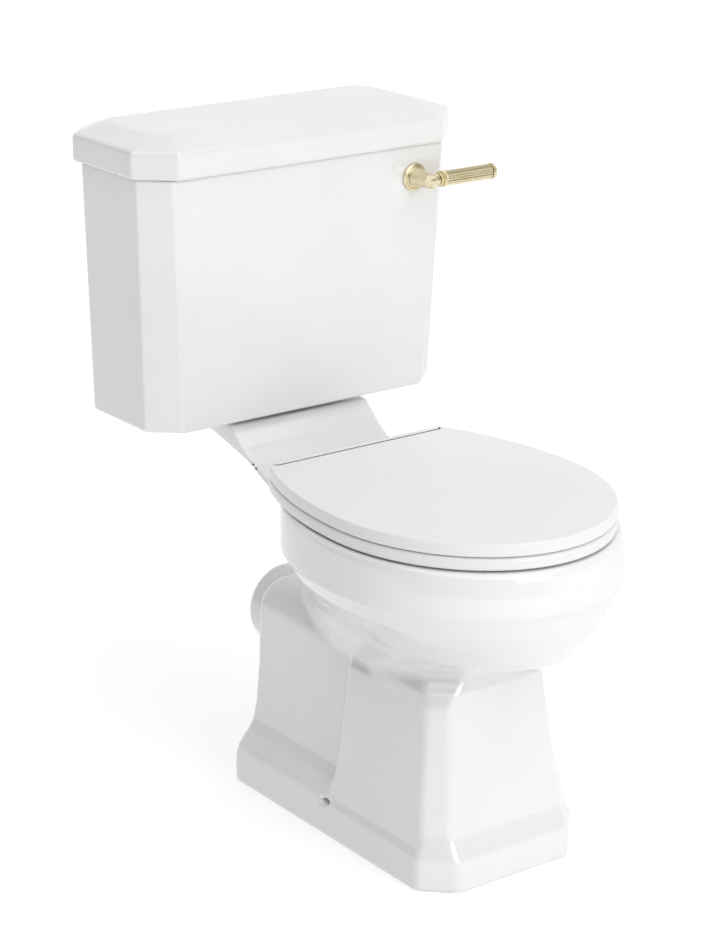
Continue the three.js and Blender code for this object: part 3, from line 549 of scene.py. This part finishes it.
def pedestal(x, y, z):
    """The front and rear blocks of the foot and the outlet spigot."""
    front = true_distance(front_block, x, y, z)
    front = np.maximum(front, np.maximum(y - SHAFT_REAR, z - SHAFT_TOP))
    rear = true_distance(rear_block, x, y, z)
    rear = np.maximum(rear, REAR_FRONT - y)
    rear = blend_max(rear, y - FOOT_REAR, 8)
    outlet = blend_max(np.hypot(x, z - OUTLET_Z) - OUTLET_RADIUS, y - OUTLET_END, 5)
    outlet = np.maximum(outlet, -40 - y)
    return blend_min(np.minimum(front, rear), outlet, 6)


def foot_hollow(x, y, z):
    """The open space under the foot, round the trap, the sump and the screw bosses."""
    front = np.maximum(front_block(x, y, z, FOOT_WALL), z - 175)
    front = np.maximum(front, y + 180)
    rear = np.maximum(rear_block(x, y, z, FOOT_WALL), np.maximum(-205 - y, y - (FOOT_REAR - FOOT_WALL)))
    rear = np.maximum(rear, z - 165)
    hollow = np.minimum(front, rear)
    kept = capsule_path(x, y, z, TRAPWAY, 39)
    kept = np.minimum(kept, depth_bar(x, y, z, OUTLET_RADIUS, -60, FOOT_REAR, OUTLET_Z))
    sump_radius = 62 + np.clip(z - 150, 0, 90) * 0.31
    kept = np.minimum(kept, upright_bar(x, y, z, sump_radius, 150, 240, 0, -262))
    kept = np.minimum(kept, upright_bar(x, y, z, 15, -2, 62, SCREW_X, SCREW_Y))
    return blend_max(hollow, -kept, 5)


def fixing_holes(x, y, z):
    """The holes for the coupling bolts, seat studs and floor screws, and the screws' side pockets."""
    holes = np.minimum(upright_bar(x, y, z, 6, 400, 460, COUPLING_BOLT_X, COUPLING_Y),
                       upright_bar(x, y, z, 6.5, 356, 410, HINGE_X, HINGE_Y))
    holes = np.minimum(holes, upright_bar(x, y, z, 4, -5, 40, SCREW_X, SCREW_Y))
    pocket_length, pocket_height = 8.5, 3.6
    pocket = (np.hypot((y + 179) / pocket_length, (z - 40) / pocket_height) - 1) * pocket_height
    return np.minimum(holes, np.maximum(pocket, 92 - x))


def pan_field(x, y, z):
    """Signed distance of the pan; x is measured from the centreline."""
    bowl = blend_max(true_distance(bowl_outside, x, y, z), z - RIM_TOP, 3)
    bowl = np.maximum(bowl, BLOCK_TOP - z)
    body = blend_min(bowl, pedestal(x, y, z), 7 + 23 * np.clip((-225 - y) / 45, 0, 1))
    body = blend_min(body, shelf(x, y, z), 9)
    body = blend_max(body, -z, 3)
    body = blend_max(body, -foot_hollow(x, y, z), 4)
    basin = np.maximum(true_distance(basin_inside, x, y, z), 188 - z)
    body = blend_max(body, -basin, 8)
    outlet_bore = depth_bar(x, y, z, OUTLET_BORE, -44, OUTLET_END + 2, OUTLET_Z)
    body = blend_max(body, -np.minimum(capsule_path(x, y, z, TRAPWAY, 29), outlet_bore), 4)
    inlet = np.minimum(upright_bar(x, y, z, 42.4, 424, 460, 0, COUPLING_Y), capsule_path(x, y, z, DUCT, 17))
    body = blend_max(body, -inlet, 4)
    return blend_max(body, -fixing_holes(x, y, z), 1.5)


def surface_nets(values, origin, pitch):
    """Points and quads of the zero surface of a sampled field."""
    inside = values < 0
    shape = np.array(values.shape) - 1
    corners = [(i, j, k) for i in (0, 1) for j in (0, 1) for k in (0, 1)]

    def at(array, corner):
        return array[tuple(slice(c, c + n) for c, n in zip(corner, shape))]

    count = sum(at(inside, c).astype(np.int8) for c in corners)
    active = (count > 0) & (count < 8)
    cells = np.argwhere(active)
    index = np.full(active.shape, -1, np.int64)
    index[active] = np.arange(len(cells))
    total, hits = np.zeros((len(cells), 3)), np.zeros(len(cells))
    for a in corners:
        for axis in range(3):
            if a[axis]:
                continue
            b = tuple(1 if n == axis else a[n] for n in range(3))
            va = values[tuple((cells + a).T)]
            vb = values[tuple((cells + b).T)]
            crossed = (va < 0) != (vb < 0)
            t = np.where(crossed, va / np.where(crossed, va - vb, 1), 0)
            point = np.array(a, float) + t[:, None] * (np.array(b) - np.array(a))
            total += point * crossed[:, None]
            hits += crossed
    points = origin + (cells + total / hits[:, None]) * pitch
    quads = []
    for axis in range(3):
        u, v = (axis + 1) % 3, (axis + 2) % 3
        low = [slice(1, -1)] * 3
        high = list(low)
        low[axis], high[axis] = slice(0, -1), slice(1, None)
        first, second = inside[tuple(low)], inside[tuple(high)]
        edge = np.argwhere(first != second)
        turned = first[tuple(edge.T)]
        base = edge + 1
        base[:, axis] -= 1
        ring = []
        for du, dv in ((0, 0), (-1, 0), (-1, -1), (0, -1)):
            cell = base.copy()
            cell[:, u] += du
            cell[:, v] += dv
            ring.append(index[tuple(cell.T)])
        quad = np.stack(ring, 1)
        quads.append(np.where(turned[:, None], quad, quad[:, ::-1]))
    return points, np.concatenate(quads)


def settle(points, quads, field, rounds=3):
    """Evens the points out along the skin and puts them back on it."""
    edges = np.concatenate([quads[:, [0, 1]], quads[:, [1, 2]], quads[:, [2, 3]], quads[:, [3, 0]]])
    degree = np.bincount(edges.ravel(), minlength=len(points))
    step = 0.2

    def sample(p):
        return field(np.abs(p[:, 0]), p[:, 1], p[:, 2])

    for _ in range(rounds):
        mean = np.zeros_like(points)
        for axis in range(3):
            mean[:, axis] = (np.bincount(edges[:, 0], points[edges[:, 1], axis], len(points))
                             + np.bincount(edges[:, 1], points[edges[:, 0], axis], len(points)))
        points = points + 0.5 * (mean / degree[:, None] - points)
        here = sample(points)
        slope = np.stack([sample(points + np.eye(3)[axis] * step) - here for axis in range(3)], 1) / step
        length = np.maximum((slope ** 2).sum(1), 0.25)
        shift = np.clip(here, -PITCH * 0.4, PITCH * 0.4)[:, None] * slope / length[:, None]
        points = points - shift
    return points


def blended_pan():
    half = np.arange(0.5, (PAN_HIGH[0] + 8) / PITCH + 1) * PITCH
    y = np.arange(PAN_LOW[1] - 3 * PITCH, PAN_HIGH[1] + 4 * PITCH, PITCH)
    z = np.arange(PAN_LOW[2] - 3 * PITCH, PAN_HIGH[2] + 4 * PITCH, PITCH)
    values = pan_field(half[:, None, None], y[None, :, None], z[None, None, :])
    values = np.concatenate([values[::-1], values])
    points, quads = surface_nets(values, np.array([-half[-1], y[0], z[0]]), PITCH)
    points = settle(points, quads, pan_field)
    points = np.clip(points, PAN_LOW, PAN_HIGH)
    return make_object("pan_china", points, quads.tolist(), "glazed_china", "pan_and_cistern", "pan")


# ---------------------------------------------------------------- cistern and lid

# half width, front face, bevel across, bevel along in front and behind, at the foot and at the top
CISTERN_FOOT, CISTERN_HEAD = (206.1, 12.8, 34, 31.5, 37), (217.2, -5, 28, 35, 47)
CISTERN_WALL, CISTERN_FLOOR = 10, 12
# a bevel grows shorter by this much of an inset
BEVEL_SHRINK = 0.4


def cistern_outline(z, inset):
    t = (z - BODY_LOW[2]) / (BODY_HIGH[2] - BODY_LOW[2])
    sizes = [a + (b - a) * t for a, b in zip(CISTERN_FOOT, CISTERN_HEAD)]
    half, front = sizes[0] - inset, sizes[1] + inset
    bevel_x, bevel_y, rear_bevel = (size - inset * BEVEL_SHRINK for size in sizes[2:])
    corners = bevelled(half, front, BODY_HIGH[1] - inset, bevel_x, bevel_y, rear_bevel)
    return [(x, y, z) for x, y in filleted(corners, max(7 - inset * 0.3, 2))]


def cistern_body():
    low, high, floor = BODY_LOW[2], BODY_HIGH[2], BODY_LOW[2] + CISTERN_FLOOR
    profile = filleted([(40, low), (0, low), (0, high), (CISTERN_WALL, high), (CISTERN_WALL, floor),
                        (40, floor)], [0, 5, 3, 2.5, 16, 0], closed=False, steps=6)
    rings = [cistern_outline(z, inset) for inset, z in profile]
    body = skin("cistern_china", rings, "glazed_china", "pan_and_cistern", "cistern_body")
    siphon, supply = (0, COUPLING_Y, 20), (-140, 140, 11)
    bolts = [(x, COUPLING_Y, 6) for x in (-COUPLING_BOLT_X, COUPLING_BOLT_X)]
    for x, y, radius in (siphon, supply, *bolts):
        carve_bar(body, radius, (0, 0, 1), (x, y, low - 3), floor - low + 6)
    carve_bar(body, 9.2, (0, 1, 0), (LEVER_X, -14, LEVER_Z), 40)
    return even_normals(body)


def cistern_lid():
    low, high = LID_LOW[2], LID_HIGH[2]
    half, front, rear = LID_HIGH[0], LID_LOW[1], LID_HIGH[1]
    bottom, rim = high - 46.1, high - 13.6
    slope_run, bevel_x, bevel_y = 38, 39.6, 39.2
    centre = np.array([0, (front + rear) / 2])

    def outline(s, z):
        """The outside at a run s inwards: up the sloped border, then over the flat plateau."""
        edge = bevelled(half, front, rear, bevel_x, bevel_y)
        plateau = bevelled(half - slope_run, front + 41, rear - 39, 15, 15)
        t = min(max(s / slope_run, 0), 1)
        corners = [np.array(a) + (np.array(b) - np.array(a)) * t for a, b in zip(edge, plateau)]
        scale = 1 - max(s - slope_run, 0) / 90
        corners = [centre + (c - centre) * scale for c in corners]
        return [(x, y, z) for x, y in filleted(corners, 7 + 6 * t)]

    outer = filleted([(0, bottom), (0, rim), (slope_run, high), (slope_run + 40, high)],
                     [0, 7, 34, 0], closed=False, steps=7)

    def inset_outline(inset, z):
        corners = bevelled(half - inset, front + inset, rear - inset,
                           bevel_x - inset * BEVEL_SHRINK, bevel_y - inset * BEVEL_SHRINK)
        return [(x, y, z) for x, y in filleted(corners, 6)]

    under = filleted([(60, rim - 3), (34, rim - 3), (26, bottom), (0, bottom), (0, bottom + 14)],
                     [0, 8, 2.5, 4.5, 0], closed=False, steps=5)
    rings = [inset_outline(inset, z) for inset, z in under[:-1]] + [outline(s, z) for s, z in outer[1:]]
    lid = even_normals(skin("lid_china", rings, "glazed_china", "cistern_lid", "cistern_lid"))
    lip_profile = filleted([(11.5, low), (18, low), (18, bottom + 1.5), (11.5, bottom + 1.5)], 1.6, steps=3)
    lip_rings = [cistern_outline(z, inset) for inset, z in lip_profile]
    lip = skin("lid_lip", lip_rings, "glazed_china", "cistern_lid", closed=True)
    return lid, even_normals(lip)


# ---------------------------------------------------------------- seat


SEAT_HALF, SEAT_FRONT, SEAT_REAR, SEAT_CENTRE = 165, 198, 288, -281
HOLE_HALF, HOLE_FRONT, HOLE_REAR = 108, 138, 122


def seat_outline(rear_edge, inset):
    """The seat in plan: half an ellipse in front, a longer one behind it, cut off straight at the hinges."""
    reach = rear_edge - SEAT_CENTRE
    angle = math.asin(reach / SEAT_REAR)
    steps = [angle * k / 14 for k in range(13, 0, -1)]
    side = [(SEAT_HALF * math.cos(a), SEAT_CENTRE + SEAT_REAR * math.sin(a)) for a in steps]
    nose = [(SEAT_HALF * math.cos(a), SEAT_CENTRE - SEAT_FRONT * math.sin(a))
            for a in np.linspace(0, math.pi, 44)]
    far = [(-x, y) for x, y in reversed(side)]
    right_corner = (SEAT_HALF * math.cos(angle), rear_edge)
    left_corner = (-right_corner[0], rear_edge)
    right = rounded_corner(left_corner, right_corner, side[0])
    left = rounded_corner(far[-1], left_corner, right_corner)
    points = np.array([*right, *side, *nose, *far, *left])
    ahead, back = np.roll(points, -1, 0) - points, points - np.roll(points, 1, 0)
    along = ahead / np.linalg.norm(ahead, axis=1)[:, None] + back / np.linalg.norm(back, axis=1)[:, None]
    along /= np.linalg.norm(along, axis=1)[:, None]
    normal = np.stack([along[:, 1], -along[:, 0]], 1)
    return points + normal * inset


def rounded_corner(before, corner, after):
    return filleted([before, corner, after], [0, 7, 0], closed=False, steps=6)[1:-1]


def seat_hole(angles):
    reaches = [HOLE_FRONT if math.sin(a) < 0 else HOLE_REAR for a in angles]
    return np.array([(HOLE_HALF * math.cos(a), SEAT_CENTRE + reach * math.sin(a))
                     for a, reach in zip(angles, reaches)])


def at_height(points, z):
    return np.column_stack([points, np.full(len(points), z)])


def seat_ring():
    low, high = RING_LOW[2], RING_HIGH[2]
    outer = seat_outline(RING_HIGH[1], 0)
    hole = seat_hole(np.arctan2(outer[:, 1] - SEAT_CENTRE, outer[:, 0]))
    middle = np.array([0.0, SEAT_CENTRE])

    def inner(grow, z):
        return at_height(middle + (hole - middle) * (1 + grow / 120), z)

    edge = filleted([(20, low), (0, low), (0, high), (20, high)], [0, 3, 4.5, 0], closed=False, steps=5)
    lip = filleted([(20, high), (0, high - 0.8), (0, low), (20, low)], [0, 6.5, 3, 0], closed=False, steps=6)
    rings = [at_height(seat_outline(RING_HIGH[1], inset), z) for inset, z in [*edge[1:-1], (14, high)]]
    rings += [inner(grow, z) for grow, z in [(16, high - 0.2), *lip[1:-1]]]
    ring = skin("ring_seat", rings, "seat_plastic", "seat_ring", "seat_ring", closed=True)
    notch_half, notch_front, notch_rear = 19.5, -110.5, -60
    for x in (-HINGE_X, HINGE_X):
        left, right = x - notch_half, x + notch_half
        plan = np.array(filleted(
            [(left, notch_front), (right, notch_front), (right, notch_rear), (left, notch_rear)], 3))
        notch = [at_height(plan, z) for z in (low - 3, high + 3)]
        carve(ring, skin("notch", notch, "seat_plastic", "seat_ring"))
    for x, y in ((-84, -425), (84, -425), (-131, -190), (131, -190)):
        carve_bar(ring, 8.3, (0, 0, 1), (x, y, low - 3), 8)
    return even_normals(soften(ring))


def carve_bar(piece, radius, axis, start, length):
    """Drills a round hole out of a piece, from a start point along an axis."""
    rings = lathe([(radius, 0), (radius, length)], axis, start, 32)
    carve(piece, skin("tool", rings, "glazed_china", "cistern_lid"))


def carve(piece, tool):
    """Cuts a tool out of a piece, for good."""
    cutter = piece.modifiers.new("cut", "BOOLEAN")
    cutter.operation = "DIFFERENCE"
    cutter.solver = "EXACT"
    cutter.object = tool
    bpy.context.view_layer.update()
    result = bpy.data.meshes.new_from_object(piece.evaluated_get(bpy.context.evaluated_depsgraph_get()))
    piece.modifiers.clear()
    old = piece.data
    piece.data = result
    result.name = old.name
    bpy.data.meshes.remove(old)
    bpy.data.objects.remove(tool)


def seat_cover():
    low, high = RING_TOP + COVER_GAP, COVER_HIGH[2]
    edge = filleted([(40, low), (0, low), (0, high), (40, high)], [0, 2.5, 2.2, 0], closed=False, steps=6)
    profile = [(12, low), *edge[1:-1], (12, high)]
    rings = [at_height(seat_outline(COVER_REAR, inset), z) for inset, z in profile]
    cover = skin("cover_seat", rings, "seat_plastic", "seat_cover", "seat_cover")
    for x in (-112, 112):
        carve_bar(cover, 6.3, (0, 0, 1), (x, -370, low - 3), 6)
    for x in (-HINGE_X, HINGE_X):
        for end in (-16.2, 16.2):
            hinge_ear(x + end, low + 1.5)
    return even_normals(soften(cover))


def hinge_ear(x, top):
    """One of the cover's ears round the hinge pin, 5 mm thick about x."""
    round_radius, hole, half_thick = 7.0, 3.35, 2.5
    outer, inner = [], []
    for a in np.linspace(0, 2 * math.pi, 49)[:-1]:
        reach = round_radius
        if math.sin(a) > 0.05:
            side = 5.0 if math.cos(a) > 0 else 6.0
            reach = max(reach, min((top - HINGE_Z) / math.sin(a), side / max(abs(math.cos(a)), 1e-6)))
        outer.append((math.cos(a) * reach, math.sin(a) * reach))
        inner.append((math.cos(a) * hole, math.sin(a) * hole))

    def ring(points, at):
        return [(at, HINGE_Y + dy, HINGE_Z + dz) for dy, dz in points]

    left, right = x - half_thick, x + half_thick
    rings = [ring(outer, left), ring(outer, right), ring(inner, right), ring(inner, left)]
    return soften(skin("cover_ear", rings, "seat_plastic", "seat_cover", closed=True), 0.7)


# ---------------------------------------------------------------- lever

AXIS_RADIUS = 0.01
FLUTES = 18


def fluted(radius, depth, x):
    """A ring about the lever's arm with shallow flutes."""
    sides = FLUTES * 8
    made = []
    for k in range(sides):
        a = 2 * math.pi * k / sides
        reach = radius - depth * (0.5 - 0.5 * math.cos(a * FLUTES)) ** 2
        made.append((x, LEVER_ARM_Y + reach * math.cos(a), LEVER_Z + reach * math.sin(a)))
    return made


def lever():
    """The round plate on the cistern's sloped front, the boss that stands off it and the arm across it."""
    x, z, arm_y, centre = LEVER_X, LEVER_Z, LEVER_ARM_Y, AXIS_RADIUS
    slope = math.atan((CISTERN_FOOT[1] - CISTERN_HEAD[1]) / (BODY_HIGH[2] - BODY_LOW[2]))
    axis = (0, -math.cos(slope), -math.sin(slope))
    wall = CISTERN_FOOT[1] - math.tan(slope) * (z - BODY_LOW[2])
    plate = filleted([(9.2, 0), (16.9, 0), (16.9, 2.6), (14.6, 4.2), (13.4, 3.2), (12.2, 5.9), (9.2, 6.4)],
                     [0, 0.5, 0.9, 0.7, 0.5, 0.8, 0.2], steps=3)
    seat = (x, wall - 0.5, z)
    turned("lever_escutcheon", plate, axis, seat, "pan_and_cistern", "lever_backplate", closed=True)

    reach = HUB_HIGH[1] - HUB_LOW[1]
    boss = filleted([(centre, 0), (12.4, 0), (9.3, 13), (9, reach), (7.2, reach), (6.6, reach - 0.7),
                     (centre, reach - 0.7)], [0, 1.2, 8, 1.3, 0.4, 0.5, 0], closed=False, steps=4)
    turned("lever_boss", boss, (0, -1, 0), (x, HUB_HIGH[1], z), "lever", "lever_hub")
    start = NECK_LOW[0]
    length = start - 0.5 - x
    stub = filleted([(centre, 0), (7, 0), (7, length), (centre, length)], [0, 0.5, 0.8, 0], closed=False)
    turned("lever_stub", stub, (1, 0, 0), (x, arm_y, z), "lever")

    length = NECK_HIGH[0] - start
    neck = filleted([(centre, 0), (8.6, 0), (8.6, 2.2), (6.9, 2.8), (6.9, 3.9), (9.9, 4.4), (9.9, length),
                     (centre, length)], [0, 0.8, 0.7, 0.3, 0.3, 0.8, 0.8, 0], closed=False, steps=3)
    turned("lever_collar", neck, (1, 0, 0), (start, arm_y, z), "lever", "lever_neck")

    low, high = GRIP_LOW[0], GRIP_HIGH[0]
    ends = [(0, 7.6, 0.0), (0.6, 8.7, 0.2), (1.8, 9.2, 0.7), (3, 9.2, 0.9)]
    grip = [fluted(radius, depth, low + run) for run, radius, depth in ends]
    grip += [fluted(radius, depth, high - run) for run, radius, depth in reversed(ends)]
    even_normals(soften(skin("lever_fluted_grip", grip, "brushed_brass", "lever", "lever_grip")))

    length = CAP_HIGH[0] - CAP_LOW[0]
    cap = filleted([(centre, 0), (9.7, 0), (9.7, 2.2), (8.7, 2.7), (8.7, 3.2), (9.5, 3.6),
                    (7.6, length - 0.3), (centre, length)],
                   [0, 0.5, 0.4, 0.2, 0.2, 0.5, 2.2, 0], closed=False, steps=4)
    turned("lever_cap", cap, (1, 0, 0), (CAP_LOW[0], arm_y, z), "lever", "lever_end_cap")


def turned(name, profile, axis, origin, body, *nodes, closed=False):
    """A brass turning."""
    rings = lathe(profile, axis, origin)
    return even_normals(soften(skin(name, rings, "brushed_brass", body, *nodes, closed=closed)))


# ---------------------------------------------------------------- studio


def lamp(name, kind, place, aim, strength, width, height=0.0):
    """A sun of a width in degrees, or a rectangular area light of a width and height in metres."""
    data = bpy.data.lights.new(name, kind)
    if kind == "AREA":
        data.shape = "RECTANGLE"
        data.size, data.size_y = width, height
    else:
        data.angle = math.radians(width)
    data.energy = strength
    light = bpy.data.objects.new(name, data)
    bpy.context.scene.collection.objects.link(light)
    light.location = place
    light.rotation_mode = "QUATERNION"
    light.rotation_quaternion = (Vector(aim) - Vector(place)).to_track_quat("-Z", "Y")


def studio():
    """A pale floor, a wide sun, one large lamp in front, and a sky that is brighter to the right and rear."""
    floor = bpy.data.meshes.new("floor")
    half = 20
    floor.from_pydata([(-half, -half, 0), (half, -half, 0), (half, half, 0), (-half, half, 0)], [],
                      [(0, 1, 2, 3)])
    material, tree, shader = new_material("floor")
    grain = object_noise(tree, 2, 2)
    tree.links.new(ramp(tree, grain, grey(0.49), grey(0.51)), shader.inputs["Base Color"])
    shader.inputs["Roughness"].default_value = 0.9
    shader.inputs["Specular IOR Level"].default_value = 0.1
    shader.inputs["Emission Color"].default_value = (1, 1, 1, 1)
    shader.inputs["Emission Strength"].default_value = 0.55
    floor.materials.append(material)
    ground = bpy.data.objects.new("floor", floor)
    bpy.context.scene.collection.objects.link(ground)
    ground.location.z = PAN_LOW[2] * MM - 0.0002

    lamp("sky", "SUN", (-0.4, -1.0, 3), (0, 0, 0), 2.05, 80)
    lamp("front", "AREA", (0.0, -3.6, 1.5), (0, -0.1, 0.4), 50, 1.6, 2.0)

    world = bpy.data.worlds.new("world")
    bpy.context.scene.world = world
    world.use_nodes = True
    tree = world.node_tree
    background = tree.nodes["Background"]
    place = add_node(tree, "ShaderNodeTexCoord")
    toward = add_node(tree, "ShaderNodeVectorMath", operation="DOT_PRODUCT")
    toward.inputs[1].default_value = (0.58, 0.81, 0.0)
    tree.links.new(place.outputs["Generated"], toward.inputs[0])
    sky = ramp(tree, toward.outputs["Value"], grey(0.08), grey(0.95), 0.1, 0.6)
    tree.links.new(sky, background.inputs["Color"])
    background.inputs["Strength"].default_value = 1
    view = bpy.context.scene.view_settings
    view.view_transform = "Standard"
    view.look = "None"
    view.exposure = 0
    view.gamma = 1


# ---------------------------------------------------------------- all of it


FINISHES = {
    "cast_brass": ("coupling_bolt", "coupling_wing_nut", "lever_bush", "lever_back_nut", "lever_spindle",
                   "lever_crank"),
    "stainless_steel": ("coupling_plate", "siphon_lift_rod", "siphon_rod_nut", "valve_arm_pin", "float_rod",
                        "lift_link", "hinge_post", "hinge_pin", "hinge_stud"),
    "float_plastic": ("float",),
    "black_rubber": ("coupling_seal", "coupling_rubber", "siphon_washer", "fill_valve_washer", "lever_rubber",
                     "hinge_sleeve"),
    "buffer_rubber": ("siphon_flap", "ring_buffer", "cover_buffer"),
}


def dress_frame():
    """Each CAD node that stays gets its finish, rounded edges and smooth shading."""
    for name, node in NODES.items():
        if node.hide_render:
            continue
        matches = (slot for slot, starts in FINISHES.items() if name.startswith(starts))
        slot = next(matches, "white_plastic")
        node.data.materials.clear()
        node.data.materials.append(MATERIALS[slot])
        soften(node, 0.5)


aim_camera()
studio()
blended_pan()
cistern_body()
cistern_lid()
seat_ring()
seat_cover()
lever()
dress_frame()
